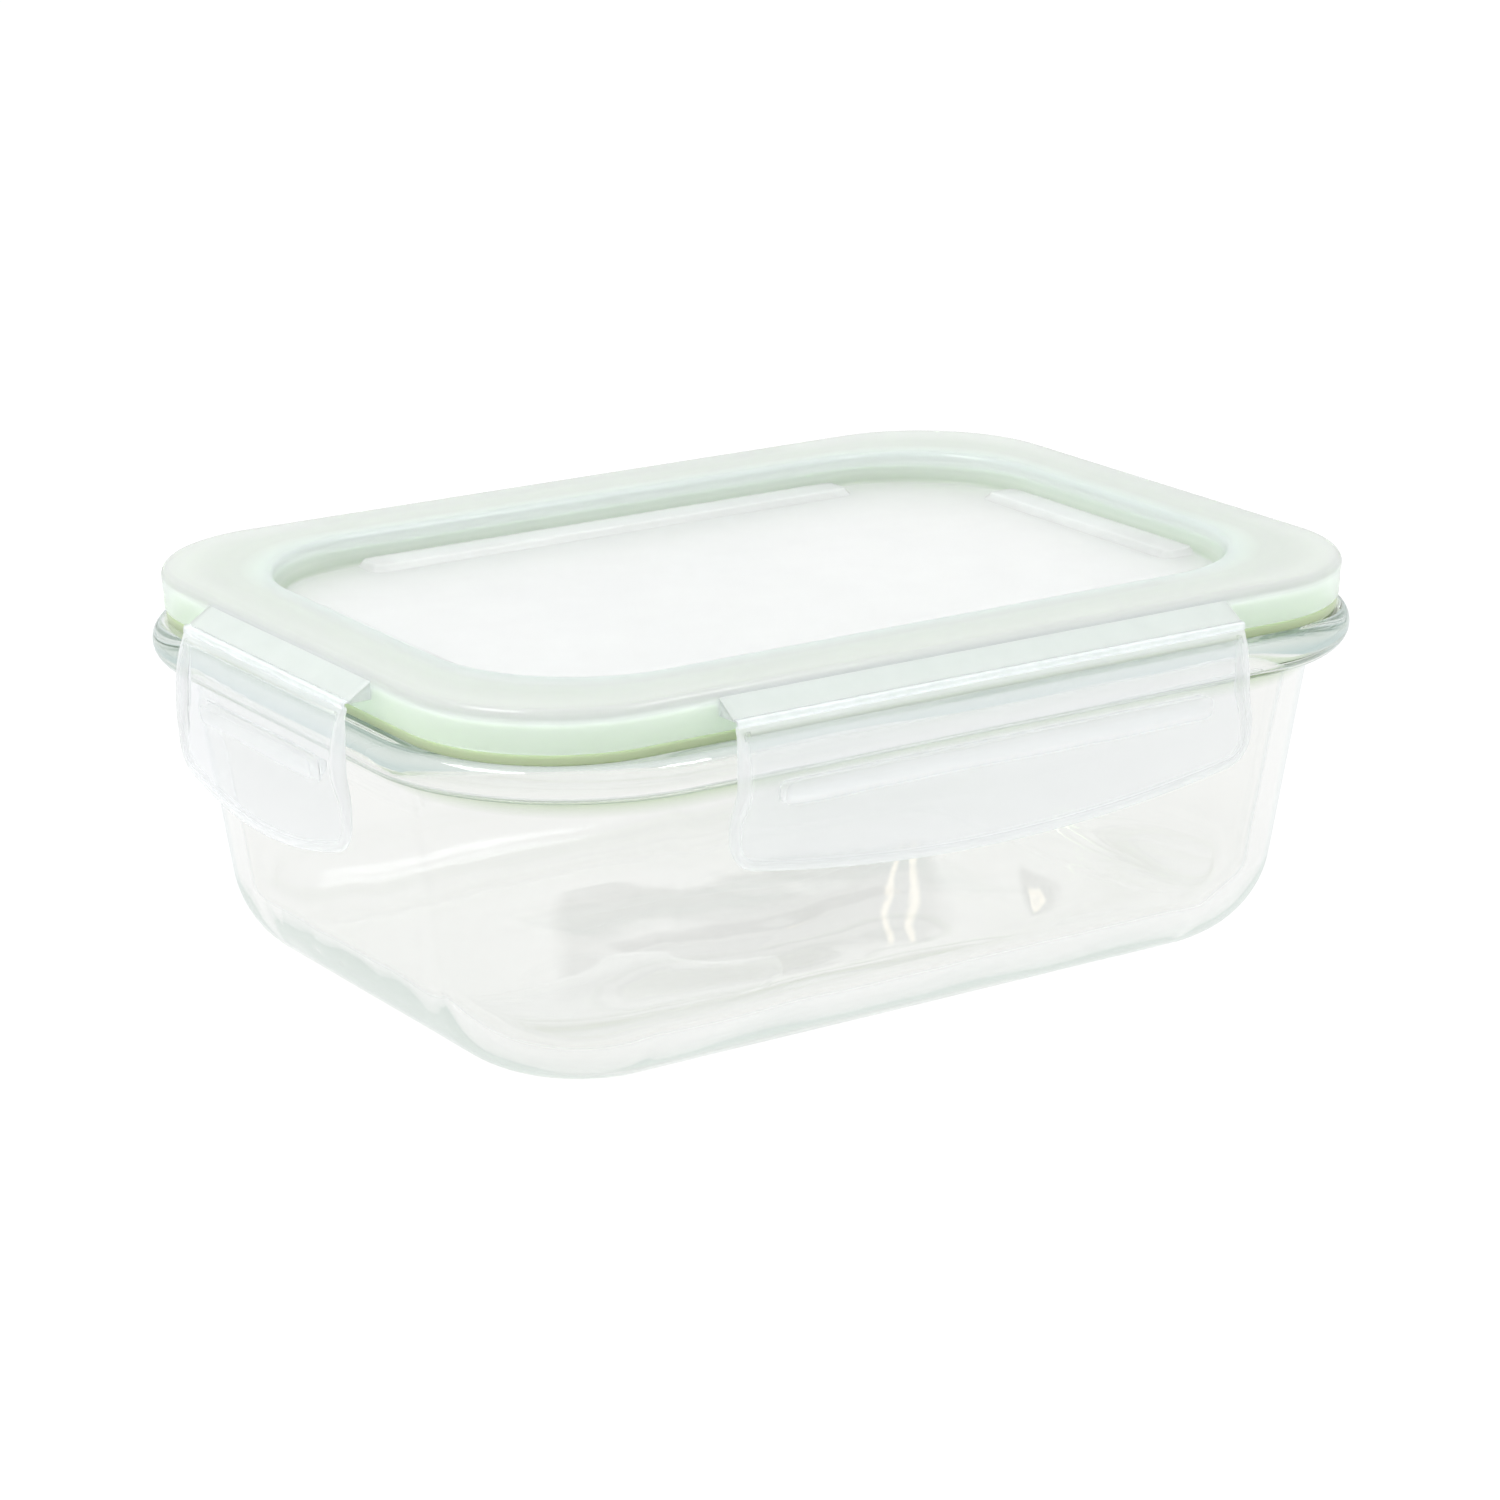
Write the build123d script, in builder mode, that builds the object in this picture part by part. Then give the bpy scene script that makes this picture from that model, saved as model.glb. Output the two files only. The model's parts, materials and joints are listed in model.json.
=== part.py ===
"""Snap lid food container: a tapered glass bowl, a lid with four hinged flaps, and a gasket.

Frame: millimetres, +Z up, origin at the centre of the bowl's base, X along the long side.
The flaps hang down over the bowl's rim, which is how the closed container stands.
"""

import os
from dataclasses import dataclass
from math import radians, tan

from build123d import *

# ---- Glass bowl ----
BASE_LENGTH = 174.2      # outside of the walls, carried down to z = 0
BASE_WIDTH = 121.4
BASE_CORNER = 27.4       # corner radius seen from above, at z = 0
NECK_LENGTH = 191.4      # outside of the walls where they meet the rim bead
NECK_WIDTH = 138.6
NECK_CORNER = 35.0
BASE_ROUND = 18.9        # outer radius between the walls and the base
WALL = 3.8
BASE_THICKNESS = 4.8
FOOT_RECESS = 0.7        # the base is hollowed a little, so that the bowl stands on a ring
FOOT_LENGTH = 118.0
FOOT_WIDTH = 66.0
FOOT_CORNER = 14.0

RIM_LENGTH = 205.0       # outside of the rim bead
RIM_WIDTH = 150.0
RIM_CORNER = 39.6
RIM_TOP = 65.2
BEAD_BOTTOM = 58.5
BEAD_ROUND = 3.3
BEAD_ROOT_ROUND = 1.2
MOUTH_ROUND = 2.0        # inner edge of the rim

# ---- Lid ----
LID_LENGTH = 197.0
LID_WIDTH = 141.0
LID_CORNER = 29.5
LID_TOP = 75.0
LID_DRAFT = 2.5          # degrees; the sides close in slightly towards the skirt's edge
LID_EDGE_ROUND = 1.8
SKIRT_BOTTOM = 66.9
SKIRT_WALL = 1.5
CHANNEL_TOP = 72.0       # underside of the thick top band, over the gasket

RECESS_LENGTH = 167.0
RECESS_WIDTH = 108.8
RECESS_CORNER = 28.0
RECESS_DRAFT = 16.0      # degrees
RECESS_WALL = 1.4        # thickness at the wall's top
RECESS_EDGE_ROUND = 1.4
RECESS_FOOT_ROUND = 1.0
PANEL_TOP = 69.3
PANEL_THICKNESS = 1.6
RIB_WALL = 1.6           # the rib that holds the gasket in on its inner side
RIB_BOTTOM = 65.0

STEP_HEIGHT = 1.2        # raised pads along the foot of the recess wall
STEP_WIDTH = 8.0
STEP_CORNER = 2.5

# ---- Gasket ----
GASKET_CLEARANCE = 0.3
GASKET_TOP = 71.8
GASKET_WEB = 1.5         # the flat part under the lid's band
OUTER_LEG = 2.6
INNER_LEG = 1.5
INNER_LEG_BOTTOM = 66.6
PLUG_GAP = 1.4           # between the plug lip and the mouth of the bowl
PLUG_LIP = 1.6
PLUG_BOTTOM = 63.4

# ---- Flaps, one on each side ----
LONG_HINGE_OUT = 75.3    # hinge line's distance from the centre, on the two long sides
LONG_HINGE_HALF = 55.0
SHORT_HINGE_OUT = 103.2
SHORT_HINGE_HALF = 29.3
LEDGE_ROOT_TOP = 74.0    # the ledge slopes from here, on the lid's side, down to the hinge
LEDGE_BOTTOM = 70.2
LEDGE_TIP_TOP = 70.8
LEDGE_SETBACK = 0.5      # from the hinge line to the ledge's tip
PIVOT_OUT = 0.1          # the web bends about an axis this far outside the hinge line
PIVOT_Z = 70.2
WEB_INSIDE = 0.1         # radii of the web's bend
WEB_OUTSIDE = 0.55

FLAP_TOP = 69.7
FLAP_WALL = 1.2
# The flap's outer surface, as distance outside the hinge line and height
FLAP_CURVE = [(0.65, FLAP_TOP), (1.75, 66.0), (2.6, 61.0), (2.55, 57.5), (1.75, 52.5), (1.25, 47.0),
              (1.2, 42.0), (1.6, 38.4)]
END_LIP = 2.2            # width of the thicker strip at each end of a flap
END_LIP_INSIDE = 0.06    # its inner face, outside the hinge line
END_LIP_TOP = 68.0
FLAP_SWELL = 1.6         # a flap is this much wider at its foot than at its hinge, at each end
FLAP_SWELL_TOP = 59.0    # it widens between these heights
FLAP_SWELL_FOOT = 52.0
FLAP_CORNER = 6.0
FLAP_MIDDLE_Z = 39.4     # lowest point of a flap, at its middle
FLAP_END_Z = 44.8        # the curved lower edge, carried out to the flap's ends

LATCH_TOP = 58.9
LATCH_BOTTOM = 54.5
LATCH_REACH = 1.2        # the latch's tip stands this far in under the rim bead
LATCH_END_GAP = 8.5      # from the latch's end to the hinge's end
LATCH_CORNER = 1.6
LATCH_ROOT = 1.6         # the latch is built out to here, outside the hinge line, inside the flap's wall


@dataclass
class Side:
    """One side of the container: its outward direction and its flap's place."""

    name: str
    out: Vector          # away from the bowl
    along: Vector        # along the side
    lid_out: float       # the lid's edge, from the centre
    recess_out: float    # the recess wall's top edge, from the centre
    rim_out: float       # the rim bead's outside, from the centre
    hinge_out: float
    hinge_half: float    # half the hinge's length

    def section(self, offset):
        """Plane across the side at an offset along it: local x is outward, local y is up."""
        normal = self.out.cross(Vector(0, 0, 1))
        return Plane(origin=normal * offset, x_dir=self.out, z_dir=normal)

    def face(self, distance):
        """Plane facing outward at a distance from the centre: local x is along, local y is up."""
        return Plane(origin=self.out * distance, x_dir=self.along, z_dir=self.out)


LONG_SIDE = (LID_WIDTH / 2, RECESS_WIDTH / 2, RIM_WIDTH / 2, LONG_HINGE_OUT, LONG_HINGE_HALF)
SHORT_SIDE = (LID_LENGTH / 2, RECESS_LENGTH / 2, RIM_LENGTH / 2, SHORT_HINGE_OUT, SHORT_HINGE_HALF)
SIDES = [
    Side("front", Vector(0, -1, 0), Vector(1, 0, 0), *LONG_SIDE),
    Side("back", Vector(0, 1, 0), Vector(-1, 0, 0), *LONG_SIDE),
    Side("left", Vector(-1, 0, 0), Vector(0, -1, 0), *SHORT_SIDE),
    Side("right", Vector(1, 0, 0), Vector(0, 1, 0), *SHORT_SIDE),
]


def wall_at(height, inset=0.0):
    """Length, width and corner radius of the bowl's wall at a height, moved in by inset."""
    share = height / BEAD_BOTTOM
    length = BASE_LENGTH + (NECK_LENGTH - BASE_LENGTH) * share
    width = BASE_WIDTH + (NECK_WIDTH - BASE_WIDTH) * share
    corner = BASE_CORNER + (NECK_CORNER - BASE_CORNER) * share
    return length - 2 * inset, width - 2 * inset, corner - inset


def grown(outline, distance):
    """An outline of length, width and corner radius, moved out by a distance."""
    length, width, corner = outline
    return length + 2 * distance, width + 2 * distance, corner + distance


def face_at(part, height):
    """The part's flat level face at a height."""
    level = part.faces().filter_by(Axis.Z)
    return level.filter_by_position(Axis.Z, height - 0.01, height + 0.01).sort_by(SortBy.AREA)[-1]


# Outlines of the gasket's channel under the lid's band
SKIRT_INSET = SKIRT_WALL + (LID_TOP - SKIRT_BOTTOM) * tan(radians(LID_DRAFT))
CHANNEL_OUTER = grown((LID_LENGTH, LID_WIDTH, LID_CORNER), -SKIRT_INSET)
CHANNEL_INNER = grown((RECESS_LENGTH, RECESS_WIDTH, RECESS_CORNER), RECESS_WALL)


def make_bowl():
    """The glass bowl: tapered walls, a large soft base edge and a half-round rim bead."""
    with BuildPart() as cavity:
        with BuildSketch(Plane.XY.offset(BASE_THICKNESS)):
            RectangleRounded(*wall_at(BASE_THICKNESS, WALL))
        with BuildSketch(Plane.XY.offset(RIM_TOP)):
            RectangleRounded(*wall_at(RIM_TOP, WALL))
        loft()
        fillet(face_at(cavity, BASE_THICKNESS).edges(), BASE_ROUND - WALL)

    with BuildPart() as bowl:
        with BuildSketch():
            RectangleRounded(*wall_at(0))
        with BuildSketch(Plane.XY.offset(BEAD_BOTTOM)):
            RectangleRounded(*wall_at(BEAD_BOTTOM))
        loft()
        fillet(face_at(bowl, 0).edges(), BASE_ROUND)
        with BuildSketch():
            RectangleRounded(FOOT_LENGTH, FOOT_WIDTH, FOOT_CORNER)
        extrude(amount=FOOT_RECESS, taper=45, mode=Mode.SUBTRACT)
        with BuildSketch(Plane.XY.offset(BEAD_BOTTOM)):
            RectangleRounded(RIM_LENGTH, RIM_WIDTH, RIM_CORNER)
        extrude(amount=RIM_TOP - BEAD_BOTTOM)
        fillet(face_at(bowl, RIM_TOP).edges(), BEAD_ROUND)
        underside = face_at(bowl, BEAD_BOTTOM)
        fillet(underside.outer_wire().edges(), BEAD_ROUND)
        fillet(face_at(bowl, BEAD_BOTTOM).inner_wires()[0].edges(), BEAD_ROOT_ROUND)
        add(cavity.part, mode=Mode.SUBTRACT)
        fillet(face_at(bowl, RIM_TOP).inner_wires()[0].edges(), MOUTH_ROUND)
    return bowl


def make_lid():
    """The lid: a thick top band round a sunken panel, a skirt, a gasket channel and four ledges."""
    with BuildPart() as lid:
        with BuildSketch(Plane.XY.offset(LID_TOP)):
            RectangleRounded(LID_LENGTH, LID_WIDTH, LID_CORNER)
        extrude(amount=SKIRT_BOTTOM - LID_TOP, taper=LID_DRAFT)
        fillet(face_at(lid, LID_TOP).edges(), LID_EDGE_ROUND)
        with BuildSketch(Plane.XY.offset(LID_TOP)):
            RectangleRounded(RECESS_LENGTH, RECESS_WIDTH, RECESS_CORNER)
        extrude(amount=PANEL_TOP - LID_TOP, taper=RECESS_DRAFT, mode=Mode.SUBTRACT)
        fillet(face_at(lid, LID_TOP).inner_wires()[0].edges(), RECESS_EDGE_ROUND)
        fillet(face_at(lid, PANEL_TOP).edges(), RECESS_FOOT_ROUND)

        with BuildSketch(Plane.XY.offset(SKIRT_BOTTOM)):
            RectangleRounded(*CHANNEL_OUTER)
            RectangleRounded(*CHANNEL_INNER, mode=Mode.SUBTRACT)
        extrude(amount=CHANNEL_TOP - SKIRT_BOTTOM, mode=Mode.SUBTRACT)
        with BuildSketch(Plane.XY.offset(SKIRT_BOTTOM)):
            RectangleRounded(*CHANNEL_INNER)
        extrude(amount=RIB_BOTTOM - SKIRT_BOTTOM)
        with BuildSketch(Plane.XY.offset(RIB_BOTTOM)):
            RectangleRounded(*grown(CHANNEL_INNER, -RIB_WALL))
        extrude(amount=PANEL_TOP - PANEL_THICKNESS - RIB_BOTTOM, mode=Mode.SUBTRACT)

        for side in SIDES:
            extrude(step_outline(side), amount=STEP_HEIGHT)
            extrude(ledge_section(side), amount=2 * side.hinge_half)
    return lid


def step_outline(side):
    """Outline of the raised pad on the panel, along the foot of one side's recess wall."""
    with BuildSketch(Plane(origin=(0, 0, PANEL_TOP), x_dir=side.out, z_dir=(0, 0, 1))) as outline:
        with Locations((side.recess_out - STEP_WIDTH / 2, 0)):
            RectangleRounded(STEP_WIDTH + RECESS_WALL, 2 * side.hinge_half, STEP_CORNER)
    return outline.sketch


def ledge_section(side):
    """Section of the sloping ledge that carries a flap's hinge, with its flat underside."""
    root = side.lid_out - SKIRT_WALL / 2
    tip = side.hinge_out - LEDGE_SETBACK
    with BuildSketch(side.section(-side.hinge_half)) as section:
        Polygon((root, LEDGE_ROOT_TOP), (tip, LEDGE_TIP_TOP), (tip, LEDGE_BOTTOM), (root, LEDGE_BOTTOM),
                align=None)
    return section.sketch


def make_gasket():
    """The silicone seal: a flat web with an outer leg, a plug lip and an inner leg below it."""
    outer = grown(CHANNEL_OUTER, -GASKET_CLEARANCE)
    inner = grown(CHANNEL_INNER, GASKET_CLEARANCE)
    plug = wall_at(RIM_TOP, WALL + PLUG_GAP)
    rings = [
        (outer, inner, GASKET_TOP - GASKET_WEB),
        (outer, grown(outer, -OUTER_LEG), RIM_TOP),
        (plug, grown(plug, -PLUG_LIP), PLUG_BOTTOM),
        (grown(inner, INNER_LEG), inner, INNER_LEG_BOTTOM),
    ]
    with BuildPart() as gasket:
        for outside, inside, bottom in rings:
            with BuildSketch(Plane.XY.offset(bottom)):
                RectangleRounded(*outside)
                RectangleRounded(*inside, mode=Mode.SUBTRACT)
            extrude(amount=GASKET_TOP - bottom)
    return gasket


def make_flap(side):
    """A flap: a thin bowed plate with a thicker strip at each end and a curved lower edge."""
    outer = [(side.hinge_out + x, z) for x, z in FLAP_CURVE]
    inner = [(x - FLAP_WALL, z) for x, z in outer]
    lip = side.hinge_out + END_LIP_INSIDE
    half = side.hinge_half + FLAP_SWELL
    with BuildPart() as flap:
        with BuildSketch(side.section(-half)):
            with BuildLine():
                Spline(*outer)
                Line(outer[-1], inner[-1])
                Spline(*inner)
                Line(inner[0], outer[0])
            make_face()
        extrude(amount=2 * half)
        for start in (-half, half - END_LIP - FLAP_SWELL):
            with BuildSketch(side.section(start)):
                with BuildLine():
                    Spline(*outer)
                    Polyline(outer[-1], (lip, outer[-1][1]), (lip, END_LIP_TOP), outer[0])
                make_face()
            extrude(amount=END_LIP + FLAP_SWELL)
        with BuildSketch(side.face(side.rim_out - BEAD_ROUND)) as outline:
            with BuildLine():
                Polyline((half, FLAP_END_Z), (half, FLAP_SWELL_FOOT), (side.hinge_half, FLAP_SWELL_TOP),
                         (side.hinge_half, LEDGE_BOTTOM), (-side.hinge_half, LEDGE_BOTTOM),
                         (-side.hinge_half, FLAP_SWELL_TOP), (-half, FLAP_SWELL_FOOT), (-half, FLAP_END_Z))
                ThreePointArc((-half, FLAP_END_Z), (0, FLAP_MIDDLE_Z), (half, FLAP_END_Z))
            make_face()
            fillet(outline.vertices().group_by(Axis.Y)[0], FLAP_CORNER)
        extrude(amount=4 * BEAD_ROUND, mode=Mode.INTERSECT)
    return flap


def make_latch(side, flap):
    """The latch rib inside a flap, which hooks under the rim bead."""
    reach = side.rim_out - LATCH_REACH
    with BuildPart() as latch:
        with BuildSketch(side.face(reach)):
            with Locations((0, (LATCH_TOP + LATCH_BOTTOM) / 2)):
                RectangleRounded(2 * (side.hinge_half - LATCH_END_GAP), LATCH_TOP - LATCH_BOTTOM, LATCH_CORNER)
        extrude(amount=side.hinge_out + LATCH_ROOT - reach)
        add(flap.part, mode=Mode.SUBTRACT)
    return latch


def make_web(side):
    """The living hinge: a thin strip that bends about the pivot, from the ledge's tip to the flap's top."""
    start = side.hinge_out - LEDGE_SETBACK
    pivot = side.hinge_out + PIVOT_OUT
    corners = [
        (start, PIVOT_Z + WEB_OUTSIDE), (pivot, PIVOT_Z + WEB_OUTSIDE),
        (pivot + WEB_OUTSIDE, PIVOT_Z), (pivot + WEB_OUTSIDE, FLAP_TOP),
        (pivot + WEB_INSIDE, FLAP_TOP), (pivot + WEB_INSIDE, PIVOT_Z),
        (pivot, PIVOT_Z + WEB_INSIDE), (start, PIVOT_Z + WEB_INSIDE),
    ]
    with BuildPart() as web:
        with BuildSketch(side.section(-side.hinge_half)):
            with BuildLine():
                Line(corners[0], corners[1])
                RadiusArc(corners[1], corners[2], WEB_OUTSIDE)
                Polyline(*corners[2:6])
                RadiusArc(corners[5], corners[6], -WEB_INSIDE)
                Polyline(corners[6], corners[7], corners[0])
            make_face()
        extrude(amount=2 * side.hinge_half)
    return web


def save(name, built):
    """Label a finished piece and write it as parts/name.step."""
    built.part.label = name
    export_step(built.part, f"parts/{name}.step")


os.makedirs("parts", exist_ok=True)
save("glass_bowl", make_bowl())
save("lid", make_lid())
save("gasket", make_gasket())
for side in SIDES:
    flap = make_flap(side)
    save(f"{side.name}_flap", flap)
    save(f"{side.name}_latch", make_latch(side, flap))
    save(f"{side.name}_hinge_web", make_web(side))
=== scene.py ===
"""The looks of the snap lid food container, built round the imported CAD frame.

Shapes are worked out in millimetres and written to Blender in metres. An outline is a rounded rectangle
as (half length, half width, corner radius); a section is a list of (outline, height) levels.
"""

import json
from math import atan, cos, pi, radians, sin, sqrt, tan

import bmesh
import bpy
import numpy as np
from mathutils import Matrix, Vector, noise
from mathutils.geometry import delaunay_2d_cdt


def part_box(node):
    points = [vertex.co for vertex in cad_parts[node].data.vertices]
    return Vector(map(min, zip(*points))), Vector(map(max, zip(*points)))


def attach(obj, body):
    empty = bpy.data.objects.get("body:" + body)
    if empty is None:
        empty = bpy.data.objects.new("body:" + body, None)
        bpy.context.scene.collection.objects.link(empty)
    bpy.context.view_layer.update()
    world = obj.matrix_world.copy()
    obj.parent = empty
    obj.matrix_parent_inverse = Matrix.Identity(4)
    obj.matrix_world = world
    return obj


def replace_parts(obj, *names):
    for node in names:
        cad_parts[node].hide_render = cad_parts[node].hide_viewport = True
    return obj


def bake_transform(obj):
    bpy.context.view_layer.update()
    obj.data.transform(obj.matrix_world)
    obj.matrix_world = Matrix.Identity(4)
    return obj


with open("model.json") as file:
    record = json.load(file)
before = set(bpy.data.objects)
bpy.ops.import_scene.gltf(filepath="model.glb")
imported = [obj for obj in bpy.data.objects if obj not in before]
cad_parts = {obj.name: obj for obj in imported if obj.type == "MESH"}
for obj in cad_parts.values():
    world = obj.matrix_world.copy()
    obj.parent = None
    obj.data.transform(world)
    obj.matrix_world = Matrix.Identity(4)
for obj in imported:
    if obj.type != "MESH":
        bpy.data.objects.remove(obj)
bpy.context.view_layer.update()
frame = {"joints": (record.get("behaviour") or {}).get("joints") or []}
MM = 0.001


# ---------------- sizes
def top_corner(node):
    """The highest corner of a CAD node's box, in millimetres."""
    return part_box(node)[1] / MM


RIM_X, RIM_Y, RIM_TOP = top_corner("glass_bowl")
LID_TOP = top_corner("lid").z

# Glass bowl
BASE = (87.1, 60.7, 27.4)  # the wall carried down to z = 0
NECK = (95.7, 69.3, 35.0)  # the wall where it meets the rim bead
RIM = (RIM_X, RIM_Y, 39.6)  # the outside of the rim bead
BEAD_BOTTOM = 58.5
BEAD_ROUND = 3.3
ROOT_ROUND = 1.3
ROOT_FLARE = 1.43
WALL = 3.8
FLOOR_TOP = 4.8
BASE_ROUND = 18.9
FOOT = (59.0, 33.0, 14.0)  # the hollow under the base
FOOT_RECESS = 0.7
FOOT_MIDDLE = (29.0, 3.0, 1.0)  # the hollow deepens gently to here
MOUTH_ROUND = 2.0
MOUTH_INSET = 0.3  # the mouth is this much narrower than the wall below it
SEAL_REFLECTION_LOW = 56.3  # between these heights the bead's lower edge gets a painted reflection of the seal's green
SEAL_REFLECTION_HIGH = 59.4
SEAL_REFLECTION_LOW_FADE = 0.4
SEAL_REFLECTION_HIGH_FADE = 0.5
STEADY_BELOW = 3.0  # the surface wanders less below here, and rests flat

# Lid
LID = (98.5, 70.5, 29.5)
RECESS = (83.5, 54.4, 28.0)
PANEL_TOP = 69.3
PANEL_THICKNESS = 1.6
CHANNEL_TOP = 72.0
SKIRT_BOTTOM = 67.2
SKIRT_WALL = 1.5
SKIRT_DRAFT = 0.354  # how far the skirt has closed in at its lower edge
BAND_ROUND = 1.8
RECESS_DRAFT = radians(16)
RECESS_ROUND = 1.4
RECESS_WALL = 1.4
RIB_WALL = 1.6
RIB_BOTTOM = 65.0
FOOT_ROUND = 1.0  # where the recess wall meets the panel
LID_LIP_ROUND = 0.5  # at the lower edges of the skirt and the rib
CHANNEL_ROUND = 0.4  # the channel's upper corners, and the cut through them
CHANNEL_CUT = 0.12
UNDER_ROUND = 0.7  # between the rib and the panel's underside
UNDER_CUT = 0.15
STEP_HEIGHT = 1.2
STEP_WIDTH = 8.0
STEP_INSET = 0.7
STEP_CORNER = 2.5
STEP_FLANK = 1.4
STEP_START = 0.02  # its foot stands this proud, so that no faces coincide
LEDGE_ROOT_TOP = 74.0
LEDGE_TIP_TOP = 70.8
LEDGE_BOTTOM = 70.2
LEDGE_SETBACK = 0.5
LEDGE_ROUND = 0.25
PANEL_ZONE = -0.5  # "zone" runs from 0 at the recess to 1 at the lid's outside

# Gasket
GASKET_TOP = 71.8
GASKET_CLEARANCE = 0.3
GASKET_WEB = 1.5
OUTER_LEG = 2.6
PLUG_GAP = 1.4
PLUG_LIP = 1.6
PLUG_BOTTOM = 63.4
INNER_LEG = 1.5
INNER_LEG_BOTTOM = 66.6
FOOT_INSET = 0.35  # the outer leg's foot, below the skirt, is this far in
FOOT_GAP = 0.1  # between the foot and the skirt above it
GASKET_ROUND = 0.5
GASKET_CUT = 0.3  # small cuts in the inner corners
PLUG_ROUND = 0.6

# Flaps
PIVOT_OUT = 0.1
PIVOT_Z = 70.2
WEB_INSIDE = 0.1
WEB_OUTSIDE = 0.55
WEB_TUCK = 0.15  # how far the strip reaches into the ledge
WEB_LAP = 0.3  # and down past the flap's top
WEB_END_GAP = 0.1
WEB_END_ROUND = 0.1
BLEND_OUT = 0.35  # build_web works out points this far inside and this far outside the hinge, which are not used
FLAP_TOP = 69.7
FLAP_WALL = 1.2
FLAP_CURVE = [  # how far the face is outside the hinge line, by height
    (0.65, 69.7), (1.75, 66.0), (2.6, 61.0), (2.55, 57.5),
    (1.75, 52.5), (1.25, 47.0), (1.2, 42.0), (1.6, 38.4),
]
EDGE_ROUND = 0.55  # a flap's faces close on each other over this much
END_LIP = 2.2
END_LIP_INSIDE = 0.06
FLAP_SWELL = 1.6
SWELL_TOP = 59.0
SWELL_FOOT = 52.0
FLAP_CORNER = 6.0
TOP_ROUND = 0.6
FLAP_MIDDLE_Z = 39.4
FLAP_END_Z = 44.8
BORDER_RISE = 0.14  # a flap's rim stands this proud of its face
BORDER_FLAT = 1.1
BORDER_FADE = 1.4
MILKY_BORDER = 0.9  # the milkier strip along the edge, and where it ends
MILKY_FADE = 1.1
TOP_FADE = 1.5  # lips and border die out over this height near the top
LATCH_TOP = 58.9
LATCH_BOTTOM = 54.5
LATCH_REACH = 1.2
LATCH_END_GAP = 8.5
LATCH_CORNER = 1.6
LATCH_FLANK = 2.9  # the width over which the rib falls away
LATCH_FLANK_OUT = 0.9  # how much of that lies outside the rib's outline

# Mesh fineness
CORNER_STEPS = 28
LONG_STEPS = 36
SHORT_STEPS = 26
NEAR = 0.3  # a level this close to an edge keeps the flat beyond it flat
OUTLINE_STEP = 0.8
ROW_STEP = 0.85
COLUMN_STEP = 1.1
RIM_INSETS = [0.0, 0.05, 0.16, 0.33, 0.55, 0.9, 1.3, 1.6, 1.9, 2.4]
GRID_GAP = 0.45  # between the innermost ring and the grid inside it
ROWS_CLEAR = 0.75  # of the even rows round the closer ones at the latch
COLUMNS_CLEAR = 1.0
LATCH_ROWS = [-0.35, -0.05, 0.12, 0.28, 0.45, 0.65]
LATCH_COLUMNS = [-0.4, -0.05, 0.12, 0.28, 0.45, 0.8, 1.2, 1.6]
ROUND_STEPS = 3  # for the small rounds of ledges and hinge strips
MOST_CUT = 0.4  # of a side, taken by the round at one corner
BESIDE_ROUND = 1.15
LEAST_GAP = 0.05  # between two rows or columns of a flap's points


class Side:
    """One side of the container, with its flap's place."""

    def __init__(self, name, out):
        self.name = name
        self.out = Vector((*out, 0))
        self.along = Vector((-self.out.y, self.out.x, 0))
        axis = 0 if self.out.x else 1
        self.lid_out, self.recess_out, self.rim_out = LID[axis], RECESS[axis], RIM[axis]
        low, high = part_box(f"{self.name}_hinge_web")
        span = (high - low) / MM
        self.hinge_half = abs(span.dot(self.along)) / 2
        joint = next(j for j in frame["joints"] if j["child"] == f"{self.name}_clip")
        self.hinge_out = Vector(joint["pos_m"]).dot(self.out) / MM - PIVOT_OUT

    def place(self, out, along, height):
        """A point in the row frame, in millimetres."""
        return self.out * out + self.along * along + Vector((0, 0, height))


SIDES = [Side("front", (0, -1)), Side("back", (0, 1)), Side("left", (-1, 0)), Side("right", (1, 0))]


# ---------------- outlines and meshes
def grow(outline, distance):
    """An outline moved out by a distance."""
    return tuple(value + distance for value in outline)


def mix(first, second, share):
    """The outline between two outlines."""
    return tuple(a + (b - a) * share for a, b in zip(first, second))


def smooth(value):
    """A share between 0 and 1, eased at both ends."""
    value = np.clip(value, 0.0, 1.0)
    return value * value * (3 - 2 * value)


def ring_points(outline):
    """Points round an outline, the same number and order for every outline."""
    half_x, half_y, corner = outline
    quarters = [(1, 1), (-1, 1), (-1, -1), (1, -1)]
    points = []
    for quarter, (sign_x, sign_y) in enumerate(quarters):
        centre = np.array([sign_x * (half_x - corner), sign_y * (half_y - corner)])
        for step in range(CORNER_STEPS + 1):
            angle = pi / 2 * (quarter + step / CORNER_STEPS)
            points.append(centre + corner * np.array([cos(angle), sin(angle)]))
        next_x, next_y = quarters[(quarter + 1) % 4]
        turn = pi / 2 * (quarter + 1)
        start = points[-1]
        end = np.array([next_x * (half_x - corner), next_y * (half_y - corner)])
        end = end + corner * np.array([cos(turn), sin(turn)])
        steps = SHORT_STEPS if quarter % 2 else LONG_STEPS
        points += [start + (end - start) * step / steps for step in range(1, steps)]
    return np.array(points)


RING = len(ring_points(RIM))


def arc(outline, height, radius, start, end, steps):
    """Levels along a round whose centre lies on an outline; in degrees, 0 outward and 90 up."""
    levels = []
    for step in range(steps + 1):
        angle = radians(start + (end - start) * step / steps)
        levels.append((grow(outline, radius * cos(angle)), height + radius * sin(angle)))
    return levels


def span(first, second, shares):
    """Levels between two levels, at shares of the way."""
    (outline_a, height_a), (outline_b, height_b) = first, second
    return [(mix(outline_a, outline_b, share), height_a + (height_b - height_a) * share) for share in shares]


def disc(outline, height, steps=10):
    """Levels of a flat disc, from just inside an outline to its centre."""
    return [(tuple(value * (1 - step / (steps + 0.5)) for value in outline), height)
            for step in range(1, steps + 1)]


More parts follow.
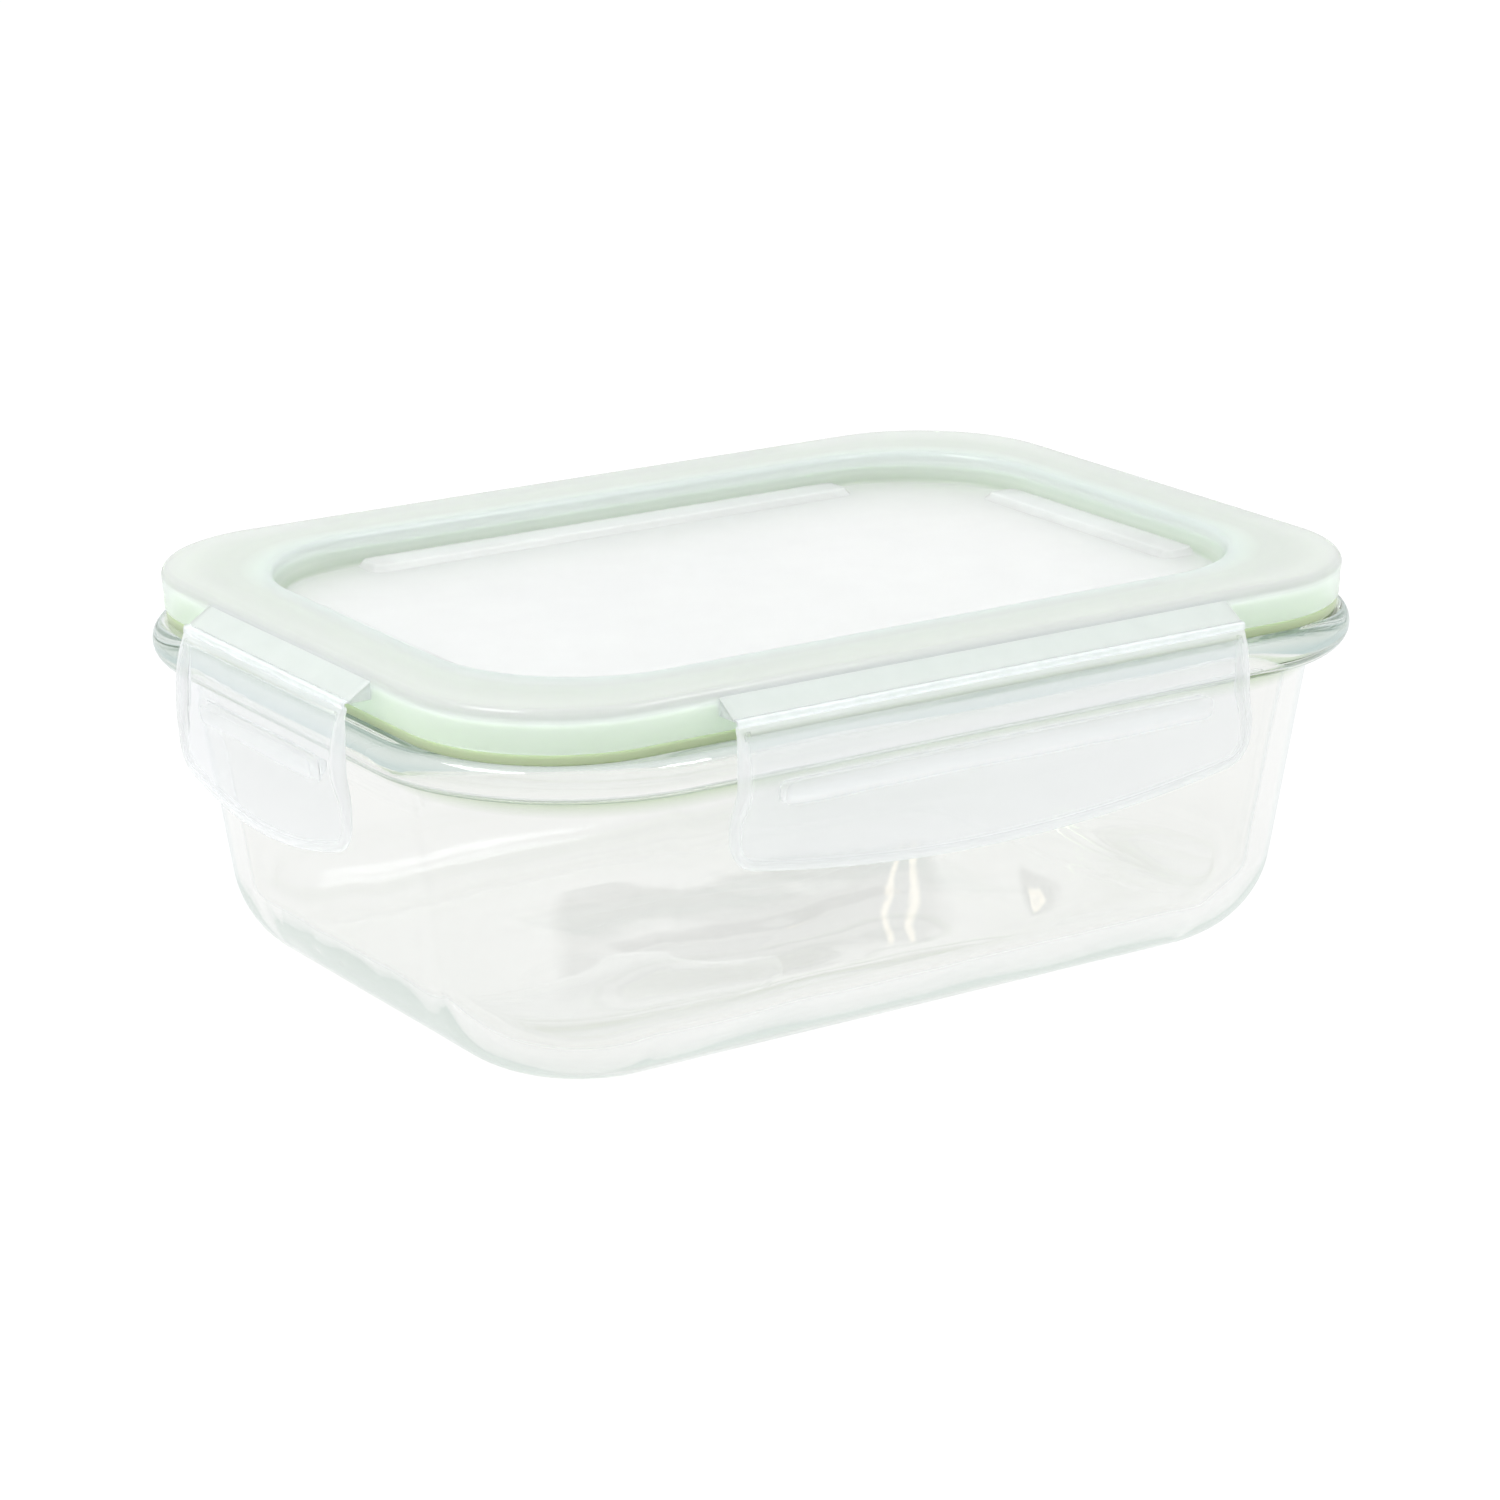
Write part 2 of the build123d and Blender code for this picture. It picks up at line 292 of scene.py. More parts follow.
def make_object(name, points, faces):
    """A smooth-shaded mesh object from points in millimetres, with its faces turned outward."""
    mesh = bpy.data.meshes.new(name)
    mesh.from_pydata([tuple(np.asarray(point) * MM) for point in points], [], faces)
    work = bmesh.new()
    work.from_mesh(mesh)
    bmesh.ops.recalc_face_normals(work, faces=work.faces)
    if work.calc_volume(signed=True) < 0:
        bmesh.ops.reverse_faces(work, faces=work.faces)
    work.to_mesh(mesh)
    work.free()
    mesh.shade_smooth()
    made = bpy.data.objects.new(name, mesh)
    bpy.context.scene.collection.objects.link(made)
    return made


def fit(made, material, slot, body, *nodes):
    """Gives an object its material, its body, and the CAD nodes that it takes the place of."""
    made.data.materials.append(material)
    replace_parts(made, *nodes) if nodes else made
    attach(made, body)


def keep_values(made, name, values):
    """Stores a value for each point on the mesh, for its material to use."""
    attribute = made.data.attributes.new(name, "FLOAT", "POINT")
    attribute.data.foreach_set("value", np.asarray(values, np.float32))


def ring_faces(rings, count, closed=False):
    """Faces between rings of points, closed on the first ring or capped at both ends."""
    faces = []
    for ring in range(rings if closed else rings - 1):
        low = ring * count
        high = (ring + 1) % rings * count
        for step in range(count):
            after = (step + 1) % count
            faces.append((low + step, low + after, high + after, high + step))
    if not closed:
        faces.append(tuple(reversed(range(count))))
        faces.append(tuple(range((rings - 1) * count, rings * count)))
    return faces


def section_mesh(name, levels, closed=False, centre=(0, 0)):
    """A mesh through levels. A closed section joins its last level to its first; an open one is capped."""
    rings = []
    for outline, height in levels:
        rings.append(np.column_stack([ring_points(outline) + centre, np.full(RING, height)]))
    return make_object(name, np.concatenate(rings), ring_faces(len(rings), RING, closed))


def bar_mesh(name, side, section, half, rounding):
    """A bar along a side: a closed section of (out, height) points, with its ends rounded off."""
    section = np.array(section)
    ahead = np.roll(section, -1, axis=0) - np.roll(section, 1, axis=0)
    normals = np.column_stack([ahead[:, 1], -ahead[:, 0]])
    normals /= np.linalg.norm(normals, axis=1)[:, None]
    following = np.roll(section, -1, axis=0)
    normals *= np.sign(np.sum(section[:, 0] * following[:, 1] - following[:, 0] * section[:, 1]))
    stations = []
    for step in range(ROUND_STEPS + 1):
        angle = pi / 2 * step / ROUND_STEPS
        stations.append((-half + rounding * (1 - sin(angle)), rounding * (1 - cos(angle))))
    far_end = [(-place, inset) for place, inset in reversed(stations)]
    middle = [-half + rounding + 0.05, -half + 2, 0, half - 2, half - rounding - 0.05]
    stations += [(place, 0) for place in middle] + far_end
    points = []
    for along, inset in stations:
        points += [side.place(out, along, height) for out, height in section - normals * inset]
    return make_object(name, points, ring_faces(len(stations), len(section)))


def rounded_polygon(corners, radius):
    """A polygon's outline with its corners rounded, and a point by each round to keep the flats flat."""
    points = []
    count = len(corners)
    for index, corner in enumerate(corners):
        corner = np.array(corner, float)
        before = np.array(corners[index - 1], float) - corner
        after = np.array(corners[(index + 1) % count], float) - corner
        cut = min(radius, MOST_CUT * np.linalg.norm(before), MOST_CUT * np.linalg.norm(after))
        before /= np.linalg.norm(before)
        after /= np.linalg.norm(after)
        points.append(corner + before * cut * BESIDE_ROUND)
        for share in np.linspace(0, 1, ROUND_STEPS + 1):
            points.append(corner + before * cut * (1 - share) ** 2 + after * cut * share ** 2)
        points.append(corner + after * cut * BESIDE_ROUND)
    return points


# ---------------- the glass bowl
def wall_outline(height, inset=0.0):
    """The bowl's wall at a height, moved in by inset."""
    return grow(mix(BASE, NECK, height / BEAD_BOTTOM), -inset)


def base_round(radius, bottom, inset, steps):
    """Levels of the large round between the base and a wall, from the base up."""
    lean = atan((NECK[0] - BASE[0]) / BEAD_BOTTOM)
    tangent = radius * tan((pi / 2 - lean) / 2)
    start = wall_outline(bottom, inset)
    corner_growth = (NECK[2] - BASE[2]) / (NECK[0] - BASE[0])
    levels = []
    for step in range(steps + 1):
        angle = -pi / 2 + (pi / 2 - lean) * step / steps
        out = -tangent + radius * cos(angle)
        corner = start[2] + (out * corner_growth if out > 0 else out)
        levels.append(((start[0] + out, start[1] + out, corner), bottom + radius + radius * sin(angle)))
    return levels


def wall_levels(low, high, inset, steps):
    """Levels up a straight wall, without its two ends."""
    heights = [low + (high - low) * step / steps for step in range(1, steps)]
    return [(wall_outline(height, inset), height) for height in heights]


def bowl_levels():
    """The bowl's section, from the middle of its underside round to the middle of its floor."""
    ends = (0.1, 0.5, 0.9)
    outside = base_round(BASE_ROUND, 0.0, 0.0, 18)
    inside = base_round(BASE_ROUND - WALL, FLOOR_TOP, WALL, 18)
    levels = disc(FOOT_MIDDLE, FOOT_RECESS, 4)[::-1]
    for share in np.linspace(0, 1, 17):
        levels.append((mix(FOOT_MIDDLE, FOOT, share), FOOT_RECESS * (1 - smooth(share))))
    levels += span((FOOT, 0.0), (outside[0][0], 0.0), ends)
    levels += outside
    root_start = BEAD_BOTTOM - ROOT_ROUND
    levels += wall_levels(outside[-1][1], root_start, 0.0, 16)
    for step in range(7):
        angle = pi / 2 * step / 6
        outline = grow(wall_outline(root_start), ROOT_FLARE * (1 - cos(angle)))
        levels.append((outline, root_start + ROOT_ROUND * sin(angle)))
    bead = grow(RIM, -BEAD_ROUND)
    levels += span(levels[-1], (bead, BEAD_BOTTOM), ends)
    levels += arc(bead, BEAD_BOTTOM + BEAD_ROUND, BEAD_ROUND, -90, 0, 14)
    levels += arc(bead, RIM_TOP - BEAD_ROUND, BEAD_ROUND, 0, 90, 14)
    mouth = wall_outline(RIM_TOP, WALL + MOUTH_INSET)
    mouth_centre = grow(mouth, MOUTH_ROUND)
    levels += span((bead, RIM_TOP), (mouth_centre, RIM_TOP), ends)
    levels += arc(mouth_centre, RIM_TOP - MOUTH_ROUND, MOUTH_ROUND, 90, 172, 9)
    levels += wall_levels(inside[-1][1], RIM_TOP - MOUTH_ROUND - 0.6, WALL, 18)[::-1]
    levels += inside[::-1]
    floor_edge = grow(inside[0][0], -NEAR)
    levels += [(floor_edge, FLOOR_TOP)]
    levels += disc(floor_edge, FLOOR_TOP, 14)
    return levels


def ripple(made, wave_mm, height_mm, seed):
    """Moves a surface in and out by a slow noise, as the surface of pressed glass wanders."""
    offset = Vector((seed, seed, seed))
    vertices = made.data.vertices
    normals = [vertex.normal.copy() for vertex in vertices]
    for vertex, normal in zip(vertices, normals):
        place = vertex.co / MM / wave_mm + offset
        steady = min(1.0, max(0.0, vertex.co.z / MM / STEADY_BELOW))
        vertex.co += normal * noise.noise(place) * height_mm * steady * MM


def painted_seal_share(outline, height):
    """Where the painted reflection of the seal goes: 1 round the lower edge of the rim bead, easing to 0
    above and below it.
    """
    outside = outline[0] > wall_outline(height)[0] - WALL / 2
    above = smooth((height - SEAL_REFLECTION_LOW) / SEAL_REFLECTION_LOW_FADE)
    below = 1 - smooth((height - SEAL_REFLECTION_HIGH) / SEAL_REFLECTION_HIGH_FADE)
    return outside * above * below


def build_bowl():
    levels = bowl_levels()
    bowl = section_mesh("bowl", levels)
    keep_values(bowl, "painted_seal_reflection", np.repeat([painted_seal_share(*level) for level in levels], RING))
    ripple(bowl, wave_mm=34.0, height_mm=0.16, seed=3.7)
    ripple(bowl, wave_mm=15.0, height_mm=0.05, seed=8.1)
    fit(bowl, clear_glass(), "bowl_glass", "bowl", "glass_bowl")


# ---------------- the lid and the gasket
def lid_levels():
    """The lid's section, from the middle of its panel out over the band and back under the panel."""
    foot = grow(RECESS, -(LID_TOP - PANEL_TOP) * tan(RECESS_DRAFT))
    floor_edge = grow(foot, -FOOT_ROUND)
    levels = disc(grow(floor_edge, -NEAR), PANEL_TOP, 12)[::-1]
    levels += [(grow(floor_edge, -NEAR), PANEL_TOP), (floor_edge, PANEL_TOP)]
    levels += arc(floor_edge, PANEL_TOP + FOOT_ROUND, FOOT_ROUND, -75, -16, 5)
    levels += span(levels[-1], (grow(RECESS, -0.35), LID_TOP - 1.2), (0.15, 0.5, 0.85))
    crown = grow(RECESS, RECESS_ROUND * 0.75)
    levels += arc(crown, LID_TOP - RECESS_ROUND, RECESS_ROUND, 164, 90, 8)
    edge = grow(LID, -BAND_ROUND)
    levels += span(levels[-1], (edge, LID_TOP), (0.03, 0.25, 0.5, 0.75, 0.97))
    levels += arc(edge, LID_TOP - BAND_ROUND, BAND_ROUND, 90, 2, 10)
    lower = grow(LID, -SKIRT_DRAFT)
    soft = LID_LIP_ROUND
    levels += span(levels[-1], (lower, SKIRT_BOTTOM + soft), (0.08, 0.5, 0.92))
    levels += arc(grow(lower, -soft), SKIRT_BOTTOM + soft, soft, -2, -90, 5)
    inside = grow(lower, -SKIRT_WALL)
    levels += arc(grow(inside, soft), SKIRT_BOTTOM + soft, soft, -90, -178, 5)
    levels += span(levels[-1], (inside, CHANNEL_TOP - CHANNEL_ROUND), (0.1, 0.9, 1.0))
    levels += [(grow(inside, -CHANNEL_CUT), CHANNEL_TOP - CHANNEL_CUT)]
    levels += [(grow(inside, -CHANNEL_ROUND), CHANNEL_TOP)]
    wall = grow(RECESS, RECESS_WALL)
    levels += span(levels[-1], (grow(wall, CHANNEL_ROUND), CHANNEL_TOP), (0.05, 0.5, 0.95, 1.0))
    levels += [(grow(wall, CHANNEL_CUT), CHANNEL_TOP - CHANNEL_CUT), (wall, CHANNEL_TOP - CHANNEL_ROUND)]
    levels += [(wall, RIB_BOTTOM + UNDER_ROUND)]
    levels += arc(grow(wall, -soft), RIB_BOTTOM + soft, soft, 0, -90, 4)
    rib = grow(wall, -RIB_WALL)
    levels += arc(grow(rib, soft), RIB_BOTTOM + soft, soft, -90, -180, 4)
    under = PANEL_TOP - PANEL_THICKNESS
    levels += [(rib, under - UNDER_ROUND), (grow(rib, -UNDER_CUT), under - UNDER_CUT)]
    levels += [(grow(rib, -UNDER_ROUND), under)]
    levels += disc(grow(rib, -1.0), under, 12)
    return levels


def gasket_levels():
    """The gasket's section as a closed loop: a flat web with three legs below it."""
    outer = grow(LID, -SKIRT_DRAFT - SKIRT_WALL - GASKET_CLEARANCE)
    inner = grow(RECESS, RECESS_WALL + GASKET_CLEARANCE)
    plug_out = wall_outline(RIM_TOP, WALL + PLUG_GAP)
    plug_in = grow(plug_out, -PLUG_LIP)
    web = GASKET_TOP - GASKET_WEB
    soft = GASKET_ROUND
    plug_soft = PLUG_ROUND
    foot = grow(LID, -SKIRT_DRAFT - FOOT_INSET)
    foot_top = SKIRT_BOTTOM - FOOT_GAP
    levels = arc(grow(outer, -soft), GASKET_TOP - soft, soft, 90, 0, 4)
    levels += [(outer, foot_top + GASKET_CUT), (grow(outer, 0.1), foot_top + 0.05)]
    levels += [(grow(outer, 0.4), foot_top)]
    levels += arc(grow(foot, -soft), foot_top - soft, soft, 90, 0, 4)
    levels += arc(grow(foot, -soft), RIM_TOP + soft, soft, 0, -90, 4)
    leg_in = grow(outer, -OUTER_LEG)
    levels += arc(grow(leg_in, soft), RIM_TOP + soft, soft, -90, -180, 4)
    levels += [(leg_in, web - GASKET_CUT), (grow(leg_in, -0.2), web)]
    levels += [(grow(plug_out, 0.15), web), (plug_out, web - GASKET_CUT)]
    levels += arc(grow(plug_out, -plug_soft), PLUG_BOTTOM + plug_soft, plug_soft, 0, -90, 4)
    levels += arc(grow(plug_in, plug_soft), PLUG_BOTTOM + plug_soft, plug_soft, -90, -180, 4)
    levels += [(plug_in, web - GASKET_CUT), (grow(plug_in, -GASKET_CUT), web)]
    leg = grow(inner, INNER_LEG)
    levels += [(grow(leg, 0.2), web), (leg, web - GASKET_CUT)]
    levels += arc(grow(leg, -soft), INNER_LEG_BOTTOM + soft, soft, 0, -90, 4)
    levels += arc(grow(inner, soft), INNER_LEG_BOTTOM + soft, soft, -90, -180, 4)
    levels += arc(grow(inner, soft), GASKET_TOP - soft, soft, 180, 90, 4)
    return levels


def build_step(side, material):
    """A raised pad on the panel at the foot of the recess wall."""
    wide, long = STEP_WIDTH / 2 + 0.2, side.hinge_half
    centre = side.out * (side.recess_out - STEP_WIDTH / 2 - STEP_INSET)
    size = (wide, long, STEP_CORNER) if side.out.x else (long, wide, STEP_CORNER)
    levels = [(grow(size, 0.3), PANEL_TOP - 0.3)]
    for share in np.linspace(0, 1, 9):
        height = PANEL_TOP + STEP_START + (STEP_HEIGHT - STEP_START) * smooth(share)
        levels.append((grow(size, 0.2 - STEP_FLANK * share), height))
    levels += disc(grow(size, 0.15 - STEP_FLANK), PANEL_TOP + STEP_HEIGHT, 3)
    step = section_mesh(f"{side.name}_panel_step", levels, centre=(centre.x, centre.y))
    keep_values(step, "zone", np.full(len(step.data.vertices), PANEL_ZONE))
    fit(step, material, "lid_plastic", "lid_assembly")


def build_ledge(side, material):
    """The sloping ledge between the lid's edge and a flap's hinge."""
    root = side.lid_out - SKIRT_WALL / 2
    tip = side.hinge_out - LEDGE_SETBACK
    corners = [(root, LEDGE_ROOT_TOP), (tip, LEDGE_TIP_TOP), (tip, LEDGE_BOTTOM), (root, LEDGE_BOTTOM)]
    section = rounded_polygon(corners, LEDGE_ROUND)
    ledge = bar_mesh(f"{side.name}_ledge", side, section, side.hinge_half, LEDGE_ROUND)
    fit(ledge, material, "lid_plastic", "lid_assembly")


def build_lid():
    plastic = lid_plastic()
    ledge_material = ledge_plastic()
    levels = lid_levels()
    lid = section_mesh("lid_shell", levels)
    zones = [(outline[0] - RECESS[0]) / (LID[0] - RECESS[0]) for outline, height in levels]
    keep_values(lid, "zone", np.repeat(zones, RING))
    fit(lid, plastic, "lid_plastic", "lid_assembly", "lid")
    for side in SIDES:
        build_step(side, plastic)
        build_ledge(side, ledge_material)
    seal = section_mesh("seal_ring", gasket_levels(), closed=True)
    fit(seal, green_silicone(), "seal", "lid_assembly", "gasket")


# ---------------- the flaps
def flap_outer(height):
    """How far outside the hinge line a flap's face is, at a height."""
    curve = np.array(FLAP_CURVE[::-1])
    outs, heights = curve[:, 0], curve[:, 1]
    slopes = np.gradient(outs, heights)
    index = np.clip(np.searchsorted(heights, height) - 1, 0, len(heights) - 2)
    step = heights[index + 1] - heights[index]
    t = (height - heights[index]) / step
    a = (1 + 2 * t) * (1 - t) ** 2 * outs[index] + t * (1 - t) ** 2 * step * slopes[index]
    b = t * t * (3 - 2 * t) * outs[index + 1] + t * t * (t - 1) * step * slopes[index + 1]
    return a + b


def swell(height):
    """How far a flap reaches past its hinge's end, at a height."""
    return FLAP_SWELL * (1 - smooth((height - SWELL_FOOT) / (SWELL_TOP - SWELL_FOOT)))


def flap_outline(side):
    """A flap's outline as (along, height) points, spaced evenly, anticlockwise."""
    half = side.hinge_half + FLAP_SWELL
    sagitta = FLAP_END_Z - FLAP_MIDDLE_Z
    radius = (half ** 2 + sagitta ** 2) / (2 * sagitta)
    centre_z = FLAP_MIDDLE_Z + radius
    # centre of the corner round, tangent to the end and to the curved lower edge
    corner_x = half - FLAP_CORNER
    corner_z = centre_z - sqrt((radius - FLAP_CORNER) ** 2 - corner_x ** 2)
    meet = atan(corner_x / (centre_z - corner_z))
    right = []
    for angle in np.linspace(0, meet, 60):
        right.append((radius * sin(angle), centre_z - radius * cos(angle)))
    for angle in np.linspace(-pi / 2 + meet, 0, 16)[1:]:
        right.append((corner_x + FLAP_CORNER * cos(angle), corner_z + FLAP_CORNER * sin(angle)))
    for height in np.linspace(corner_z + 0.5, FLAP_TOP - 1.5 * TOP_ROUND, 40):
        right.append((side.hinge_half + swell(height), height))
    corner_x, corner_z = side.hinge_half - TOP_ROUND, FLAP_TOP - TOP_ROUND
    for angle in np.linspace(0, pi / 2, 7)[1:]:
        right.append((corner_x + TOP_ROUND * cos(angle), corner_z + TOP_ROUND * sin(angle)))
    across = np.linspace(side.hinge_half - 2 * TOP_ROUND, 0, 60)
    right += [(along, FLAP_TOP) for along in across]
    left = [(-along, height) for along, height in right[::-1]]
    loop = np.array(right + left[1:-1])
    return even_loop(loop, OUTLINE_STEP)


def even_loop(loop, spacing):
    """A closed loop's points spaced evenly."""
    closed = np.vstack([loop, loop[:1]])
    lengths = np.concatenate([[0], np.cumsum(np.linalg.norm(np.diff(closed, axis=0), axis=1))])
    count = int(lengths[-1] / spacing)
    places = np.linspace(0, lengths[-1], count, endpoint=False)
    return np.column_stack([np.interp(places, lengths, closed[:, axis]) for axis in (0, 1)])


def loop_inside(loop, distance):
    """A convex loop moved in by a distance."""
    ahead = np.roll(loop, -1, axis=0) - np.roll(loop, 1, axis=0)
    ahead /= np.linalg.norm(ahead, axis=1)[:, None]
    return loop + np.column_stack([-ahead[:, 1], ahead[:, 0]]) * distance


def distance_to_loop(points, loop):
    """The distance from each point to a closed loop."""
    start, end = loop, np.roll(loop, -1, axis=0)
    edge = end - start
    nearest = np.full(len(points), 1e9)
    for a, e in zip(start, edge):
        t = np.clip(((points - a) @ e) / (e @ e), 0, 1)
        nearest = np.minimum(nearest, np.linalg.norm(points - (a + t[:, None] * e), axis=1))
    return nearest


def latch_share(side, along, height):
    """1 on the latch rib, 0 off it, with steep sides and rounded ends."""
    half_long = side.hinge_half - LATCH_END_GAP - LATCH_CORNER
    half_high = (LATCH_TOP - LATCH_BOTTOM) / 2 - LATCH_CORNER
    middle = (LATCH_TOP + LATCH_BOTTOM) / 2
    past_end = np.maximum(abs(along) - half_long, 0)
    past_side = np.maximum(abs(height - middle) - half_high, 0)
    return smooth((LATCH_CORNER + LATCH_FLANK_OUT - np.hypot(past_end, past_side)) / LATCH_FLANK)


def spaced(values):
    """Values in order, without any that all but repeats the one before."""
    kept = []
    for value in sorted(values):
        if not kept or value - kept[-1] > LEAST_GAP:
            kept.append(value)
    return kept


def flap_points(side):
    """The flap's plan points, their distance in from its edge, and its triangles."""
    outline = flap_outline(side)
    rings = [loop_inside(outline, inset) for inset in RIM_INSETS]
    half = side.hinge_half + FLAP_SWELL
    rows = list(np.arange(FLAP_MIDDLE_Z + 1, FLAP_TOP - 1, ROW_STEP))
    rows = [row for row in rows if min(abs(row - LATCH_TOP), abs(row - LATCH_BOTTOM)) > ROWS_CLEAR]
    for edge, inward in ((LATCH_TOP, -1), (LATCH_BOTTOM, 1)):
        rows += [edge + inward * step for step in LATCH_ROWS]
    end = side.hinge_half - LATCH_END_GAP
    columns = list(np.arange(-half + 0.6, half, COLUMN_STEP))
    columns = [column for column in columns if abs(abs(column) - end) > COLUMNS_CLEAR]
    for sign in (-1, 1):
        columns += [sign * (end - step) for step in LATCH_COLUMNS]
    grid = np.array([(column, row) for row in spaced(rows) for column in spaced(columns)])
    grid = grid[(abs(grid[:, 0]) < half) & (grid[:, 1] > FLAP_MIDDLE_Z)]
    deep = distance_to_loop(grid, outline)
    keep = (deep > RIM_INSETS[-1] + GRID_GAP) & points_within(grid, outline)
    points = np.vstack(rings + [grid[keep]])
    depth = np.concatenate([np.full(len(outline), inset) for inset in RIM_INSETS] + [deep[keep]])
    boundary = list(range(len(outline)))
    plan = [Vector(point) for point in points]
    _, _, faces, originals, _, _ = delaunay_2d_cdt(plan, [], [boundary], 1, 1e-6)
    order = [group[0] for group in originals]
    return points[order], depth[order], [tuple(face) for face in faces]


def points_within(points, loop):
    """Whether each point is inside a convex anticlockwise loop."""
    found = np.ones(len(points), bool)
    for start, end in zip(loop, np.roll(loop, -1, axis=0)):
        edge = end - start
        cross = edge[0] * (points[:, 1] - start[1]) - edge[1] * (points[:, 0] - start[0])
        found &= cross > 0
    return found


def build_flap(side, material):
    """A flap as one closed shell: bowed plate, raised border, end lips and the latch rib inside it."""
    plan, depth, triangles = flap_points(side)
    along, height = plan[:, 0], plan[:, 1]
    outer = side.hinge_out + flap_outer(height)
    half = side.hinge_half + swell(height)
    lip = smooth(abs(along) - half + END_LIP + 0.5) * smooth((FLAP_TOP - 1.0 - height) / TOP_FADE)
    inner = outer - FLAP_WALL
    inner = inner + (side.hinge_out + END_LIP_INSIDE - inner) * lip
    latch = latch_share(side, along, height)
    inner = inner + (side.rim_out - LATCH_REACH - inner) * latch
    border = 1 - smooth((depth - BORDER_FLAT) / BORDER_FADE)
    outer = outer + BORDER_RISE * border * smooth((FLAP_TOP - 1.5 - height) / TOP_FADE)
    # the edge is rounded: both faces close on the middle of the edge over its last half millimetre
    close = np.sqrt(np.clip(1 - (1 - np.clip(depth / EDGE_ROUND, 0, 1)) ** 2, 0, 1))
    middle = (outer + inner) / 2
    outer = middle + (outer - middle) * close
    inner = middle + (inner - middle) * close
    points = [side.place(o, a, h) for o, a, h in zip(outer, along, height)]
    inside = np.flatnonzero(depth >= 1e-9)
    inner_index = np.arange(len(plan))
    inner_index[inside] = len(points) + np.arange(len(inside))
    points += [side.place(inner[i], along[i], height[i]) for i in inside]
    faces = triangles + [tuple(int(inner_index[i]) for i in face[::-1]) for face in triangles]
    flap = make_object(f"{side.name}_flap_shell", points, faces)
    milky = 1 - smooth((depth - MILKY_BORDER) / MILKY_FADE)
    for name, value in (("border", milky), ("latch", latch)):
        keep_values(flap, name, np.concatenate([value, value[inside]]))
    nodes = (f"{side.name}_flap", f"{side.name}_latch")
    fit(flap, material, "flap_plastic", f"{side.name}_clip", *nodes)


def build_web(side, material):
    """The living hinge: a thin strip that curves down round the hinge line from the ledge's tip to the
    flap's top edge.
    """
    pivot = side.hinge_out + PIVOT_OUT
    start = side.hinge_out - LEDGE_SETBACK - WEB_TUCK
    end = FLAP_TOP - WEB_LAP
    bend = [pi / 2 * (1 - step / 10) for step in range(11)]
    section = [(start, PIVOT_Z + WEB_OUTSIDE)]
    section += [(pivot + WEB_OUTSIDE * cos(angle), PIVOT_Z + WEB_OUTSIDE * sin(angle)) for angle in bend]
    section += [(pivot + WEB_OUTSIDE, end), (pivot + WEB_INSIDE, end)]
    section += [(pivot + WEB_INSIDE * cos(angle), PIVOT_Z + WEB_INSIDE * sin(angle)) for angle in bend[::-1]]
    section += [(start, PIVOT_Z + WEB_INSIDE)]
    half = side.hinge_half - WEB_END_GAP
    web = bar_mesh(f"{side.name}_hinge_strip", side, section, half, WEB_END_ROUND)
    web.data.materials.append(material)
    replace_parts(web, f"{side.name}_hinge_web")
    fixed = side.place(side.hinge_out - BLEND_OUT, 0, PIVOT_Z + 0.4) * MM
    moving = side.place(pivot + BLEND_OUT, 0, FLAP_TOP + 0.1) * MM
    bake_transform(web)


# ---------------- materials
MILK_GLOW = 0.42  # the share of the milk that lets light on through
PLASTIC_IOR = 1.2  # less than the real 1.49, so that edges don't go dark
FLAP_IOR = 1.035
LONG_PATH = 12  # bounces, after which light inside counts as an even glow
RIM_GLOW = (0.70, 0.80, 0.81)
BASE_GLOW = (0.92, 0.96, 0.95)
GLASS_SKIN = (0.962, 0.962, 0.952)
# painted reflection of the green seal, for the bead's lower edge
PAINTED_SEAL_REFLECTION = (0.47, 0.60, 0.38)
# painted dark teal shade for glass edges seen at a grazing angle
PAINTED_EDGE_SHADE = (0.50, 0.64, 0.68)
GLASS_TINT = (0.50, 0.60, 0.52, 1.0)
GLASS_DENSITY = 6.0
PANEL_WHITE = (0.86, 0.85, 0.83)
SKIRT_WHITE = (0.98, 0.99, 1.0)
# painted bluish-grey shade for the recess slope round the panel
PAINTED_SLOPE_SHADE = (0.745, 0.79, 0.79)
BAND_WHITE = (0.70, 0.692, 0.715)
EDGE_WHITE = (0.72, 0.72, 0.725)
BAND_CLEARING = 0.12
LID_LOW_MILK = 0.48
LID_SLOPE_MILK = 0.16
LID_BAND_MILK = 0.90
LEDGE_WHITE = (0.78, 0.80, 0.785)
FLAP_WHITE = (0.96, 0.96, 0.985)
FLAP_BORDER_WHITE = (0.99, 0.99, 1.0)
FLAP_MILK = 0.24
FLAP_BORDER_MILK = 0.60
FLAP_LATCH_MILK = 0.10
SEAL_DARK = (0.57, 0.74, 0.40)
SEAL_LIGHT = (0.63, 0.79, 0.46)
SEAL_FOOT = (0.49, 0.58, 0.36)


def add_node(tree, kind, inputs=None, **settings):
    """A shader node with its inputs set to values or linked to sockets."""
    made = tree.nodes.new("ShaderNode" + kind)
    for name, value in settings.items():
        setattr(made, name, value)
    for name, value in (inputs or {}).items():
        if isinstance(value, bpy.types.NodeSocket):
            tree.links.new(value, made.inputs[name])
        else:
            made.inputs[name].default_value = value
    return made


def new_material(name):
    """An empty material and its node tree."""
    made = bpy.data.materials.new(name)
    made.use_nodes = True
    made.node_tree.nodes.clear()
    return made, made.node_tree


def rest_position(tree):
    """Where a point is at rest in the row frame, in metres."""
    return add_node(tree, "TexCoord").outputs["Object"]


